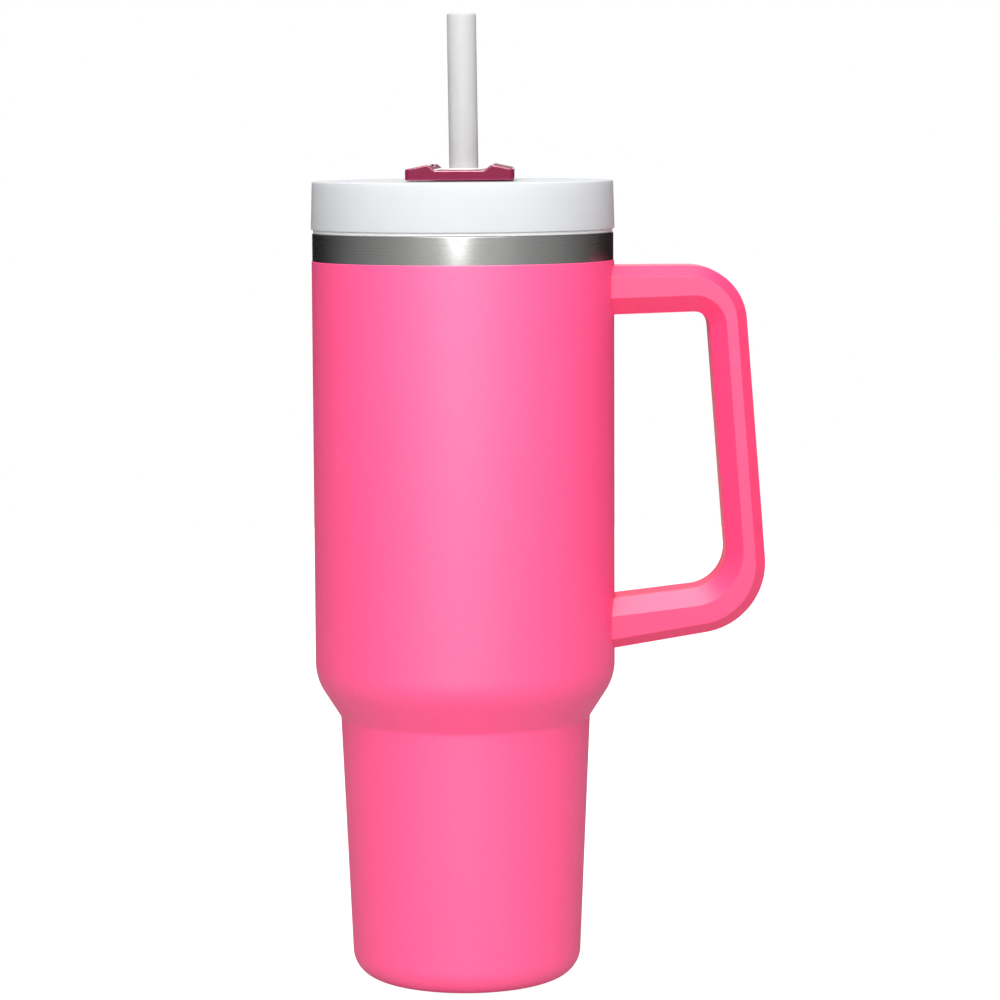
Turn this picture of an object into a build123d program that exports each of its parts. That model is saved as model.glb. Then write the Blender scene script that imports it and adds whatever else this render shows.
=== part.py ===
from build123d import *

import os
from math import atan2, cos, degrees, radians, sin

# Insulated tumbler with a screw-on lid, a rotating cover, a straw and a side handle.
# Millimetres. +Z is up, the origin is the centre of the base on the tumbler's axis,
# and the handle stands on the +X side.

# ---------------------------------------------------------------- driving dimensions
# outer wall
body_radius = 48.7          # coated upper body
waist_radius = 40.6         # foot of the shoulder taper
foot_radius = 36.9          # lower wall carried down to the table
shoulder_corner_z = 98.5    # where the upper wall meets the taper
waist_z = 85.8
shoulder_fillet = 17.0
waist_fillet = 3.0
foot_fillet = 8.6
shell_wall = 0.9

# base
ring_inner_radius = 24.0    # inside of the ring that the tumbler stands on
ring_fillet = 1.0
base_recess = 3.2
base_sheet = 0.9
dimple_depth = 0.7
sheet_slope = 0.4            # how far a pressed step moves sideways through the sheet

# vacuum gap and inner cup
vacuum_gap = 2.2
liner_wall = 0.7
liner_floor_z = 9.2
liner_floor_fillet = 7.0
foil_gap = 0.6              # the foil's outside, out from the inner cup
foil_thick = 0.25
foil_top_gap = 6.0          # bare wall left above the foil
foil_bottom_z = 22.0

# steel rim
coat_top_z = 233.9
rim_top_z = 242.7
rim_radius = 48.45
rim_fillet = 0.4

# screw thread between the mouth and the lid
thread_lead = 8.0
thread_starts = 2
thread_base_width = 2.0
thread_crest_width = 1.2
mouth_thread_reach = 1.3    # how far the mouth's thread stands in from its wall
mouth_thread_z = 230.5
mouth_thread_height = 7.0
lid_thread_reach = 1.5
lid_thread_z = 232.5        # half a rib spacing above the mouth's
lid_thread_height = 6.2
thread_root = 0.3           # how deep the lid's ribs are sunk into the plug
thread_seam = 0.08          # how far the mouth's ribs stand clear of the cup's wall

# lid
lid_bottom_z = 243.8
lid_top_z = 259.2
lid_bottom_radius = 48.85
lid_top_radius = 48.4
lid_bottom_fillet = 0.45
lid_top_fillet = 0.35
lid_wall = 2.4
lid_plate = 2.6
plug_radius = 43.1
plug_neck_radius = 44.3
plug_wall = 2.2
plug_bottom_z = 229.6
plug_floor = 2.4
plug_flange = 2.2
neck_drop = 2.7             # from the lid's underside down to the full neck
hub_tube_wall = 2.1
gasket_inner_radius = 44.45
gasket_outer_radius = 46.5
gasket_gap = 0.05
gasket_fillet = 0.3

# drink opening and cover
rest_turn = -2.2            # the lid's resting angle about its axis, degrees
drink_centre = 16.0         # from the axis to the middle of the drink opening
drink_length = 16.0
drink_width = 9.0
drink_corner = 4.0
duct_wall = 1.6
cover_bottom_z = 259.6
cover_deck_z = 262.8
cover_peak_z = 264.6
cover_edge_z = 263.15
cover_half_length = 25.0
cover_front_half_width = 17.2
cover_back_half_width = 16.2
cover_plan_fillet = 1.5
cover_foot_fillet = 0.2
cover_edge_fillet = 0.7
cover_peak_fillet = 0.6
channel_fillet = 0.5
channel_top_half = 10.1
channel_floor_half = 7.8
notch_depth = 8.0
notch_width = 17.0
notch_corner = 3.0
hub_outer_radius = 8.0
hub_inner_radius = 6.1
hub_clearance = 0.1
hub_bottom_z = 226.2
retainer_radius = 11.5
retainer_thick = 1.8
retainer_z = 227.3
retainer_groove = 0.7
seal_proud = 0.15           # of the cover's pad, below the cover
seal_thick = 1.5
seal_length = 20.0
seal_width = 13.0
grommet_radius = 7.0
grommet_depth = 2.3
grommet_proud = 0.3
grommet_fillet = 0.2
oring_radius = 0.75
oring_z = 245.0
oring_groove_play = 0.2
oring_squeeze = 0.05

# straw
straw_radius = 4.7
straw_wall = 0.75
straw_offset_x = 0.5        # where it passes the cover's deck
straw_lean = 0.6            # towards -X, degrees
straw_top_z = 312.4
straw_floor_gap = 0.6
straw_clearance = 0.1
straw_tip_fillet = 0.3

# handle
handle_half_width = 11.5
handle_inner_flat_half = 7.5
inner_chamfer_depth = 5.35
outer_chamfer_depth = 3.3
outer_chamfer_side = 3.6
handle_edge_round = 0.7
grip_depth = 1.8
grip_half_width = 5.6
grip_start_x = 52.0         # the grip's ends, out from the axis
bracket_half_width = 6.5
bracket_thick = 2.5
bracket_reach = 64.5
screw_x = 58.0
screw_radius = 2.0
screw_head_radius = 3.6
screw_head_height = 1.9

os.makedirs("parts", exist_ok=True)


def finish(builder, name):
    """Label a finished piece and write its STEP file."""
    builder.part.label = name
    export_step(builder.part, f"parts/{name}.step")


def shifted(corners, distance):
    """The corners of an open outline moved sideways, to the left of its direction of travel."""
    points = [Vector(*corner) for corner in corners]
    directions = [(b - a).normalized() for a, b in zip(points, points[1:])]
    normals = [Vector(-d.Y, d.X) for d in directions]
    moved = [points[0] + normals[0] * distance]
    for corner, before, after in zip(points[1:-1], normals, normals[1:]):
        moved.append(corner + (before + after) * (distance / (1 + before.dot(after))))
    moved.append(points[-1] + normals[-1] * distance)
    return [(point.X, point.Y) for point in moved]


def wall_corners(inset):
    """The outer wall's outline from the coat's top edge down to the table, moved inwards."""
    outline = [
        (body_radius, coat_top_z),
        (body_radius, shoulder_corner_z),
        (waist_radius, waist_z),
        (foot_radius, 0),
    ]
    return shifted(outline, -inset)


# ---------------------------------------------------------------- tumbler body
# Outer wall: from the coat's top edge down the shoulder and waist, round the foot and
# across the standing ring, then up the inside of the base recess.
foot_outline = wall_corners(0) + [
    (ring_inner_radius, 0),
    (ring_inner_radius, base_recess),
]
foot_outline_inside = shifted(foot_outline, -shell_wall)

with BuildPart() as outer_shell:
    with BuildSketch(Plane.XZ):
        with BuildLine():
            outside = FilletPolyline(
                *foot_outline,
                radius=[shoulder_fillet, waist_fillet, foot_fillet, ring_fillet],
            )
            inside = FilletPolyline(
                *foot_outline_inside,
                radius=[
                    shoulder_fillet - shell_wall,
                    waist_fillet + shell_wall,
                    foot_fillet - shell_wall,
                    ring_fillet + shell_wall,
                ],
            )
            Line(outside @ 0, inside @ 0)
            Line(outside @ 1, inside @ 1)
        make_face()
    revolve(axis=Axis.Z)
finish(outer_shell, "outer_shell")

# Bare steel rim: the uncoated top of the wall, rolled in to the mouth.
liner_inset = shell_wall + vacuum_gap
mouth_outer_radius = body_radius - liner_inset
mouth_radius = mouth_outer_radius - liner_wall
rim_inner_wall_radius = body_radius - shell_wall

with BuildPart() as rim_band:
    with BuildSketch(Plane.XZ):
        with BuildLine():
            outside = FilletPolyline(
                (rim_inner_wall_radius, coat_top_z),
                (rim_radius, coat_top_z),
                (rim_radius, rim_top_z),
                (mouth_outer_radius, rim_top_z),
                (mouth_outer_radius, rim_top_z - shell_wall),
                (rim_inner_wall_radius, rim_top_z - 2 * shell_wall),
                radius=[0, rim_fillet, 0, 0],
            )
            Line(outside @ 1, outside @ 0)
        make_face()
    revolve(axis=Axis.Z)
finish(rim_band, "rim_band")


def thread_rib(wall_radius, reach, root, start_z, height, start_angle):
    """One start of a helical rib. Its root lies that far inside the wall's radius."""
    slope = (thread_base_width - thread_crest_width) / 2
    root_half_width = thread_base_width / 2 + slope * root / abs(reach)
    with BuildPart(mode=Mode.PRIVATE) as rib:
        with BuildLine():
            path = Helix(pitch=thread_lead, height=height, radius=wall_radius)
        section_plane = Plane(origin=path @ 0, x_dir=(1, 0, 0), z_dir=path % 0)
        with BuildSketch(section_plane):
            with BuildLine():
                Polyline(
                    (-root, -root_half_width),
                    (reach, -thread_crest_width / 2),
                    (reach, thread_crest_width / 2),
                    (-root, root_half_width),
                    close=True,
                )
            make_face()
        sweep(path=path, is_frenet=True)
    return Location((0, 0, start_z), (0, 0, start_angle)) * rib.part


# Inner cup: one drawn steel wall.
liner_outside = wall_corners(liner_inset)[:-1] + [
    (foot_radius - liner_inset, liner_floor_z),
    (0, liner_floor_z),
]
liner_outside[0] = (mouth_outer_radius, rim_top_z)
liner_inside = shifted(liner_outside, -liner_wall)

with BuildPart() as inner_liner:
    with BuildSketch(Plane.XZ):
        with BuildLine():
            outside = FilletPolyline(
                *liner_outside,
                radius=[
                    shoulder_fillet - liner_inset,
                    waist_fillet + liner_inset,
                    liner_floor_fillet,
                ],
            )
            inside = FilletPolyline(
                *liner_inside,
                radius=[
                    shoulder_fillet - liner_inset - liner_wall,
                    waist_fillet + liner_inset + liner_wall,
                    liner_floor_fillet - liner_wall,
                ],
            )
            Line(outside @ 0, inside @ 0)
            Line(outside @ 1, inside @ 1)
        make_face()
    revolve(axis=Axis.Z)
finish(inner_liner, "inner_liner")

# The mouth's thread: two helical steel ribs on the inside of the cup's neck.
with BuildPart() as mouth_thread:
    for start in range(thread_starts):
        add(
            thread_rib(
                mouth_radius,
                -mouth_thread_reach,
                thread_seam,
                mouth_thread_z,
                mouth_thread_height,
                start * 360 / thread_starts,
            )
        )
finish(mouth_thread, "mouth_thread")

# Reflective foil wrapped on the inner cup, inside the vacuum.
foil_inset = liner_inset - foil_gap
foil_outside = wall_corners(foil_inset)
foil_inside = wall_corners(foil_inset + foil_thick)

with BuildPart() as liner_foil:
    with BuildSketch(Plane.XZ):
        with BuildLine():
            outside = FilletPolyline(
                *foil_outside,
                radius=[shoulder_fillet - foil_inset, waist_fillet + foil_inset],
            )
            inside = FilletPolyline(
                *foil_inside,
                radius=[
                    shoulder_fillet - foil_inset - foil_thick,
                    waist_fillet + foil_inset + foil_thick,
                ],
            )
            Line(outside @ 0, inside @ 0)
            Line(outside @ 1, inside @ 1)
        make_face()
    revolve(axis=Axis.Z)
    split(bisect_by=Plane.XY.offset(coat_top_z - foil_top_gap), keep=Keep.BOTTOM)
    split(bisect_by=Plane.XY.offset(foil_bottom_z), keep=Keep.TOP)
finish(liner_foil, "liner_foil")

# Structural base: a steel disc that closes the vacuum, dimpled round its evacuation hole.
seal_hole_radius = 1.5
dimple_radius = 5.0
dimple_rim_radius = 6.0
outer_base_radius = ring_inner_radius + shell_wall
dimple_z = base_recess - dimple_depth

with BuildPart() as outer_base:
    with BuildSketch(Plane.XZ):
        with BuildLine():
            Polyline(
                (seal_hole_radius, dimple_z),
                (dimple_radius, dimple_z),
                (dimple_rim_radius, base_recess),
                (outer_base_radius, base_recess),
                (outer_base_radius, base_recess + base_sheet),
                (dimple_rim_radius - sheet_slope, base_recess + base_sheet),
                (dimple_radius - sheet_slope, dimple_z + base_sheet),
                (seal_hole_radius, dimple_z + base_sheet),
                close=True,
            )
        make_face()
    revolve(axis=Axis.Z)
finish(outer_base, "outer_base")

# Glass bead that seals the evacuation hole.
bead_overlap = 1.2
bead_height = 0.8
bead_taper = 20.0
with BuildPart() as vacuum_seal:
    with BuildSketch(Plane.XY.offset(dimple_z)):
        Circle(seal_hole_radius)
    extrude(amount=base_sheet)
    with BuildSketch(Plane.XY.offset(dimple_z + base_sheet)):
        Circle(seal_hole_radius + bead_overlap)
    extrude(amount=bead_height, taper=bead_taper)
finish(vacuum_seal, "vacuum_seal")

# Visible base cover: a thin pressed disc with a shallow round ridge underneath.
cover_disc_z = 1.2
cover_disc_thick = 0.8
cover_disc_gap = 0.05
ridge_outer_radius = 20.0
ridge_inner_radius = 18.0
ridge_height = 0.35
ridge_taper = 30.0

with BuildPart() as base_cover:
    with BuildSketch(Plane.XY.offset(cover_disc_z)):
        Circle(ring_inner_radius - cover_disc_gap)
    extrude(amount=cover_disc_thick)
    with BuildSketch(Plane.XY.offset(cover_disc_z)):
        Circle(ridge_outer_radius)
        Circle(ridge_inner_radius, mode=Mode.SUBTRACT)
    extrude(amount=-ridge_height, taper=ridge_taper)
finish(base_cover, "base_cover")

# Getter tablet, which holds the vacuum, in its spring clip under the inner cup.
getter_radius = 5.5
getter_thick = 1.4
clip_thick = 0.3
clip_width = 5.0
clip_half_length = 10.0
getter_top_z = liner_floor_z - clip_thick

with BuildPart() as vacuum_getter:
    with BuildSketch(Plane.XY.offset(getter_top_z - getter_thick)):
        Circle(getter_radius)
    extrude(amount=getter_thick)
finish(vacuum_getter, "vacuum_getter")

with BuildPart() as getter_clip:
    with BuildSketch(Plane.XZ.offset(-clip_width / 2)):
        with BuildLine():
            under_z = getter_top_z - getter_thick
            Polyline(
                (-clip_half_length, liner_floor_z),
                (-getter_radius - clip_thick, liner_floor_z),
                (-getter_radius - clip_thick, under_z - clip_thick),
                (getter_radius + clip_thick, under_z - clip_thick),
                (getter_radius + clip_thick, liner_floor_z),
                (clip_half_length, liner_floor_z),
                (clip_half_length, liner_floor_z - clip_thick),
                (getter_radius + 2 * clip_thick, liner_floor_z - clip_thick),
                (getter_radius + 2 * clip_thick, under_z - 2 * clip_thick),
                (-getter_radius - 2 * clip_thick, under_z - 2 * clip_thick),
                (-getter_radius - 2 * clip_thick, liner_floor_z - clip_thick),
                (-clip_half_length, liner_floor_z - clip_thick),
                close=True,
            )
        make_face()
    extrude(amount=clip_width)
finish(getter_clip, "getter_clip")

# ---------------------------------------------------------------- handle
# Corners of the handle's side view: the outside from the top arm round to the lower arm,
# and the finger gap inside it. Both run into the body, which trims them later.
handle_root = 40.0
handle_outside = [(handle_root, 231.8), (89.6, 231.8), (98.6, 116.8), (handle_root, 107.0)]
handle_inside = [(handle_root, 216.0), (78.6, 217.2), (85.3, 129.0), (handle_root, 123.6)]
outside_fillets = [18.4, 22.8]
inside_fillets = [5.0, 12.5]
upper_seat_z = 221.8        # where each bracket's tongue rests in its arm
lower_seat_z = 118.6
arm_pocket_depth = 6.0
arm_pocket_start = body_radius - 2.0
arm_pocket_end = bracket_reach + 1.0
screw_ledge = 1.4           # plastic left between the screw's head and the bracket
screw_play = 0.2
pocket_play = 0.5
body_trim_bottom = 90.0
body_trim_top = 250.0


def faceted_prism(corners, fillets, flat_half, bevel_depth):
    """A closed side-view outline given thickness, with its flanks bevelled.

    A positive depth draws the flanks in, a negative one flares them out."""
    side = handle_half_width - flat_half
    slope = degrees(atan2(bevel_depth, side))
    with BuildPart(mode=Mode.PRIVATE) as prism:
        with BuildSketch(Plane.XZ) as middle:
            with BuildLine():
                outline = FilletPolyline(*corners, radius=fillets)
                Line(outline @ 1, outline @ 0)
            make_face()
        extrude(amount=flat_half, both=True)
        for direction in (1, -1):
            flank = middle.sketch.moved(Location((0, -direction * flat_half, 0)))
            extrude(flank, amount=direction * side, taper=slope)
    return prism.part


def grip_block():
    """The strip of material, one grip deep, that lines the finger gap."""
    with BuildPart(mode=Mode.PRIVATE) as block:
        with BuildSketch(Plane.XZ):
            with BuildLine():
                outer = FilletPolyline(
                    *shifted(handle_inside, grip_depth),
                    radius=[corner + grip_depth for corner in inside_fillets],
                )
                inner = FilletPolyline(*handle_inside, radius=inside_fillets)
                Line(outer @ 0, inner @ 0)
                Line(outer @ 1, inner @ 1)
            make_face()
        extrude(amount=grip_half_width, both=True)
        split(bisect_by=Plane.YZ.offset(grip_start_x), keep=Keep.TOP)
    return block.part


with BuildPart() as handle_frame:
    add(
        faceted_prism(
            handle_outside,
            outside_fillets,
            handle_half_width - outer_chamfer_side,
            outer_chamfer_depth,
        )
    )
    add(
        faceted_prism(
            handle_inside,
            inside_fillets,
            handle_inner_flat_half,
            -inner_chamfer_depth,
        ),
        mode=Mode.SUBTRACT,
    )
    fillet(
        [edge for edge in handle_frame.edges() if edge.bounding_box().max.X > body_radius],
        handle_edge_round,
    )
    # the ends saddle on the body
    with BuildSketch(Plane.XY.offset(body_trim_bottom)):
        Circle(body_radius)
    extrude(amount=body_trim_top - body_trim_bottom, mode=Mode.SUBTRACT)
    # groove for the grip, from arm to arm round the finger gap
    add(grip_block(), mode=Mode.SUBTRACT)
    # hollow arm ends, screw holes and their counterbores
    for seat_z, into_arm in ((upper_seat_z, 1), (lower_seat_z, -1)):
        with BuildSketch(Plane.XY.offset(seat_z)):
            with Locations(((arm_pocket_start + arm_pocket_end) / 2, 0)):
                Rectangle(arm_pocket_end - arm_pocket_start, 2 * (bracket_half_width + pocket_play))
        extrude(amount=into_arm * arm_pocket_depth, mode=Mode.SUBTRACT)
        with BuildSketch(Plane.XY.offset(seat_z)):
            with Locations((screw_x, 0)):
                Circle(screw_radius + screw_play)
        extrude(amount=-into_arm * screw_ledge, mode=Mode.SUBTRACT)
        with BuildSketch(Plane.XY.offset(seat_z - into_arm * screw_ledge)):
            with Locations((screw_x, 0)):
                Circle(screw_head_radius + screw_play)
        extrude(amount=-into_arm * 2 * screw_head_height, mode=Mode.SUBTRACT)
finish(handle_frame, "handle_frame")

# Soft grip: fills the groove and covers the screw heads.
with BuildPart() as handle_grip:
    add(grip_block())
finish(handle_grip, "handle_grip")

# Steel brackets: a curved pad welded to the wall and a tongue that the arm slides over.
bracket_pad_thick = 1.2
bracket_pad_height = 5.6
bracket_pad_blank = 10.0    # length along X of the block that the curved pad is cut with
tongue_half_width = 5.5
tongue_corner = 2.0
tongue_start = body_radius - 4.0
tongue_hole_play = 0.05


def bracket(seat_z, into_arm):
    """One bracket, standing from its seat towards the middle of its arm."""
    with BuildPart(mode=Mode.PRIVATE) as made:
        with BuildSketch(Plane.XY.offset(seat_z)):
            Circle(body_radius + bracket_pad_thick)
            Circle(body_radius, mode=Mode.SUBTRACT)
            with Locations((body_radius, 0)):
                Rectangle(bracket_pad_blank, 2 * bracket_half_width, mode=Mode.INTERSECT)
        extrude(amount=into_arm * bracket_pad_height)
        with BuildSketch(Plane.XY.offset(seat_z)):
            with Locations(((tongue_start + bracket_reach) / 2, 0)):
                RectangleRounded(bracket_reach - tongue_start, 2 * tongue_half_width, tongue_corner)
            Circle(body_radius, mode=Mode.SUBTRACT)
            with Locations((screw_x, 0)):
                Circle(screw_radius + tongue_hole_play, mode=Mode.SUBTRACT)
        extrude(amount=into_arm * bracket_thick)
    return made.part


with BuildPart() as handle_bracket_upper:
    add(bracket(upper_seat_z, 1))
finish(handle_bracket_upper, "handle_bracket_upper")

with BuildPart() as handle_bracket_lower:
    add(bracket(lower_seat_z, -1))
finish(handle_bracket_lower, "handle_bracket_lower")

# Socket screws that clamp the arms to the brackets.
screw_tip = 1.4
socket_radius = 1.5
socket_depth = 1.1

with BuildPart() as handle_screws:
    for seat_z, into_arm in ((upper_seat_z, 1), (lower_seat_z, -1)):
        head_seat_z = seat_z - into_arm * screw_ledge
        with BuildSketch(Plane.XY.offset(head_seat_z)):
            with Locations((screw_x, 0)):
                Circle(screw_head_radius)
        extrude(amount=-into_arm * screw_head_height)
        with BuildSketch(Plane.XY.offset(head_seat_z)):
            with Locations((screw_x, 0)):
                Circle(screw_radius)
        extrude(amount=into_arm * (screw_ledge + bracket_thick + screw_tip))
        with BuildSketch(Plane.XY.offset(head_seat_z - into_arm * screw_head_height)):
            with Locations((screw_x, 0)):
                RegularPolygon(socket_radius, 6)
        extrude(amount=into_arm * socket_depth, mode=Mode.SUBTRACT)
finish(handle_screws, "handle_screws")

# ---------------------------------------------------------------- lid
lid_x = (cos(radians(rest_turn)), sin(radians(rest_turn)), 0)
lid_plane = Plane(origin=(0, 0, 0), x_dir=lid_x, z_dir=(0, 0, 1))
cover_front_plane = Plane(origin=(0, 0, 0), x_dir=lid_x, z_dir=(lid_x[1], -lid_x[0], 0))
lid_cavity_radius = lid_bottom_radius - lid_wall
cap_underside_z = lid_top_z - lid_plate
hub_bore = hub_outer_radius + hub_clearance

# Cap: the plate and skirt, open below, with the cover's bore and the drink opening.
with BuildPart() as lid_cap:
    with BuildSketch(Plane.XZ):
        with BuildLine():
            Polyline(
                (0, cap_underside_z),
                (lid_cavity_radius, cap_underside_z),
                (lid_cavity_radius, lid_bottom_z),
                (lid_bottom_radius, lid_bottom_z),
                (lid_top_radius, lid_top_z),
                (0, lid_top_z),
                close=True,
            )
        make_face()
    revolve(axis=Axis.Z)
    rims = lid_cap.edges().filter_by(GeomType.CIRCLE).sort_by(SortBy.RADIUS)
    fillet(rims[-1], lid_bottom_fillet)
    top_rim = lid_cap.edges().filter_by(GeomType.CIRCLE).group_by(Axis.Z)[-1]
    fillet(top_rim, lid_top_fillet)
    with BuildSketch(lid_plane.offset(cap_underside_z)):
        Circle(hub_bore)
        with Locations((0, drink_centre)):
            RectangleRounded(drink_length, drink_width, drink_corner)
    extrude(amount=lid_plate, mode=Mode.SUBTRACT)
finish(lid_cap, "lid_cap")

# Plug: the threaded inner half, a cup whose floor is open round the core.
hub_tube_radius = hub_bore + hub_tube_wall
plug_chamfer = 1.2


def core_outline():
    """The core's outside in plan: the hub's tube and the drink duct side by side."""
    Circle(hub_tube_radius)
    with Locations((0, drink_centre)):
        RectangleRounded(
            drink_length + 2 * duct_wall,
            drink_width + 2 * duct_wall,
            drink_corner + duct_wall,
        )


flange_top_z = lid_bottom_z + plug_flange
neck_z = lid_bottom_z - neck_drop
plug_inner_radius = plug_radius - plug_wall
with BuildPart() as lid_plug:
    with BuildSketch(Plane.XZ):
        with BuildLine():
            Polyline(
                (0, plug_bottom_z),
                (plug_radius - plug_chamfer, plug_bottom_z),
                (plug_radius, plug_bottom_z + plug_chamfer),
                (plug_radius, neck_z - (plug_neck_radius - plug_radius)),
                (plug_neck_radius, neck_z),
                (plug_neck_radius, lid_bottom_z),
                (lid_cavity_radius, lid_bottom_z),
                (lid_cavity_radius, flange_top_z),
                (plug_inner_radius, flange_top_z),
                (plug_inner_radius, plug_bottom_z + plug_floor),
                (0, plug_bottom_z + plug_floor),
                close=True,
            )
        make_face()
    revolve(axis=Axis.Z)
    with BuildSketch(lid_plane.offset(plug_bottom_z)):
        core_outline()
    extrude(amount=plug_floor, mode=Mode.SUBTRACT)
    for start in range(thread_starts):
        add(
            thread_rib(
                plug_radius,
                lid_thread_reach,
                thread_root,
                lid_thread_z,
                lid_thread_height,
                start * 360 / thread_starts,
            )
        )
finish(lid_plug, "lid_plug")

# Core: the hub's tube and the drink duct, welded into the plug's floor, up to the cap.
core_height = cap_underside_z - plug_bottom_z
with BuildPart() as drink_core:
    with BuildSketch(lid_plane.offset(plug_bottom_z)):
        core_outline()
    extrude(amount=core_height)
    with BuildSketch(lid_plane.offset(plug_bottom_z)):
        Circle(hub_bore)
        with Locations((0, drink_centre)):
            RectangleRounded(drink_length, drink_width, drink_corner)
    extrude(amount=core_height, mode=Mode.SUBTRACT)
finish(drink_core, "drink_core")

# Gasket: a silicone ring on the steel lip, under the lid's flange.
with BuildPart() as lid_gasket:
    with BuildSketch(Plane.XY.offset(rim_top_z + gasket_gap)):
        Circle(gasket_outer_radius)
        Circle(gasket_inner_radius, mode=Mode.SUBTRACT)
    extrude(amount=lid_bottom_z - rim_top_z - 2 * gasket_gap)
    fillet(lid_gasket.edges(), gasket_fillet)
finish(lid_gasket, "lid_gasket")

# ---------------------------------------------------------------- rotating cover
# A bar across the lid, a little narrower at the back, with a channel along it, a drink
# notch in one side, and a hollow hub that turns in the lid and guides the straw.
cover_height = cover_peak_z - cover_bottom_z
hub_length = cover_bottom_z - hub_bottom_z
seal_top_z = cover_bottom_z - seal_proud + seal_thick
oring_ring_radius = hub_outer_radius + oring_squeeze - oring_radius
cover_section = [
    (-cover_front_half_width, cover_bottom_z),
    (cover_front_half_width, cover_bottom_z),
    (cover_front_half_width, cover_edge_z),
    (channel_top_half, cover_peak_z),
    (channel_floor_half, cover_deck_z),
    (-channel_floor_half, cover_deck_z),
    (-channel_top_half, cover_peak_z),
    (-cover_front_half_width, cover_edge_z),
]
cover_section_fillets = [
    cover_foot_fillet,
    cover_foot_fillet,
    cover_edge_fillet,
    cover_peak_fillet,
    channel_fillet,
    channel_fillet,
    cover_peak_fillet,
    cover_edge_fillet,
]
back_share = cover_back_half_width / cover_front_half_width
with BuildPart() as rotating_cover:
    for offset, width_share in ((cover_half_length, 1), (-cover_half_length, back_share)):
        with BuildSketch(cover_front_plane.offset(offset)):
            with BuildLine():
                FilletPolyline(
                    *[(x * width_share, z) for x, z in cover_section],
                    radius=cover_section_fillets,
                    close=True,
                )
            make_face()
    loft(ruled=True)
    with BuildSketch(lid_plane.offset(cover_bottom_z)):
        with BuildLine():
            FilletPolyline(
                (-cover_front_half_width, -cover_half_length),
                (cover_front_half_width, -cover_half_length),
                (cover_back_half_width, cover_half_length),
                (-cover_back_half_width, cover_half_length),
                radius=cover_plan_fillet,
                close=True,
            )
        make_face()
    extrude(amount=cover_height, mode=Mode.INTERSECT)
    with BuildSketch(lid_plane.offset(cover_bottom_z)):
        with Locations((-cover_front_half_width, 0)):
            RectangleRounded(2 * notch_depth, notch_width, notch_corner)
    extrude(amount=cover_height, mode=Mode.SUBTRACT)
    with BuildSketch(lid_plane.offset(hub_bottom_z)):
        Circle(hub_outer_radius)
    extrude(amount=hub_length)
    with BuildSketch(lid_plane.offset(hub_bottom_z)):
        Circle(hub_inner_radius)
    extrude(amount=cover_peak_z - hub_bottom_z, mode=Mode.SUBTRACT)
    with BuildSketch(lid_plane.offset(cover_deck_z - grommet_depth)):
        Circle(grommet_radius)
    extrude(amount=cover_peak_z - cover_deck_z + grommet_depth, mode=Mode.SUBTRACT)
    with BuildSketch(lid_plane.offset(cover_bottom_z)):
        with Locations((0, drink_centre)):
            RectangleRounded(seal_length, seal_width, drink_corner)
    extrude(amount=seal_top_z - cover_bottom_z, mode=Mode.SUBTRACT)
    with BuildSketch(lid_plane.offset(retainer_z)):
        Circle(hub_outer_radius)
        Circle(hub_outer_radius - retainer_groove, mode=Mode.SUBTRACT)
    extrude(amount=retainer_thick, mode=Mode.SUBTRACT)
    with BuildSketch(lid_plane.offset(oring_z - oring_radius - oring_groove_play)):
        Circle(hub_outer_radius)
        Circle(oring_ring_radius - oring_radius, mode=Mode.SUBTRACT)
    extrude(amount=2 * (oring_radius + oring_groove_play), mode=Mode.SUBTRACT)
finish(rotating_cover, "rotating_cover")

# Silicone pad under the cover, over the drink opening.
with BuildPart() as cover_seal:
    with BuildSketch(lid_plane.offset(cover_bottom_z - seal_proud)):
        with Locations((0, drink_centre)):
            RectangleRounded(seal_length, seal_width, drink_corner)
    extrude(amount=seal_thick)
finish(cover_seal, "cover_seal")

# Snap ring that keeps the hub in the lid.
with BuildPart() as cover_retainer:
    with BuildSketch(Plane.XY.offset(retainer_z)):
        Circle(retainer_radius)
        Circle(hub_outer_radius - retainer_groove, mode=Mode.SUBTRACT)
    extrude(amount=retainer_thick)
finish(cover_retainer, "cover_retainer")

# O-ring on the hub.
with BuildPart() as hub_oring:
    with BuildSketch(Plane.XZ):
        with Locations((oring_ring_radius, oring_z)):
            Circle(oring_radius)
    revolve(axis=Axis.Z)
finish(hub_oring, "hub_oring")

# Grommet: the silicone ring round the straw. Its hole leans with the straw.
lean = radians(straw_lean)
straw_plane = Plane(
    origin=(straw_offset_x, 0, cover_deck_z),
    x_dir=(cos(lean), 0, sin(lean)),
    z_dir=(-sin(lean), 0, cos(lean)),
)
with BuildPart() as straw_grommet:
    with BuildSketch(Plane.XY.offset(cover_deck_z - grommet_depth)):
        Circle(grommet_radius)
    extrude(amount=grommet_depth + grommet_proud)
    fillet(straw_grommet.edges().group_by(Axis.Z)[-1], grommet_fillet)
    with BuildSketch(straw_plane):
        Circle(straw_radius + straw_clearance)
    extrude(amount=2 * grommet_depth, both=True, mode=Mode.SUBTRACT)
finish(straw_grommet, "straw_grommet")

# ---------------------------------------------------------------- straw
straw_bottom_z = liner_floor_z + liner_wall + straw_floor_gap
with BuildPart() as straw:
    with BuildSketch(straw_plane.offset(straw_bottom_z - cover_deck_z)):
        Circle(straw_radius)
        Circle(straw_radius - straw_wall, mode=Mode.SUBTRACT)
    extrude(amount=straw_top_z - straw_bottom_z)
    fillet(straw.edges(), straw_tip_fillet)
finish(straw, "straw")
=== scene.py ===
from math import cos, pi, radians, sin, sqrt, tan

import bmesh
import bpy
from mathutils import Matrix, Vector


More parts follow.
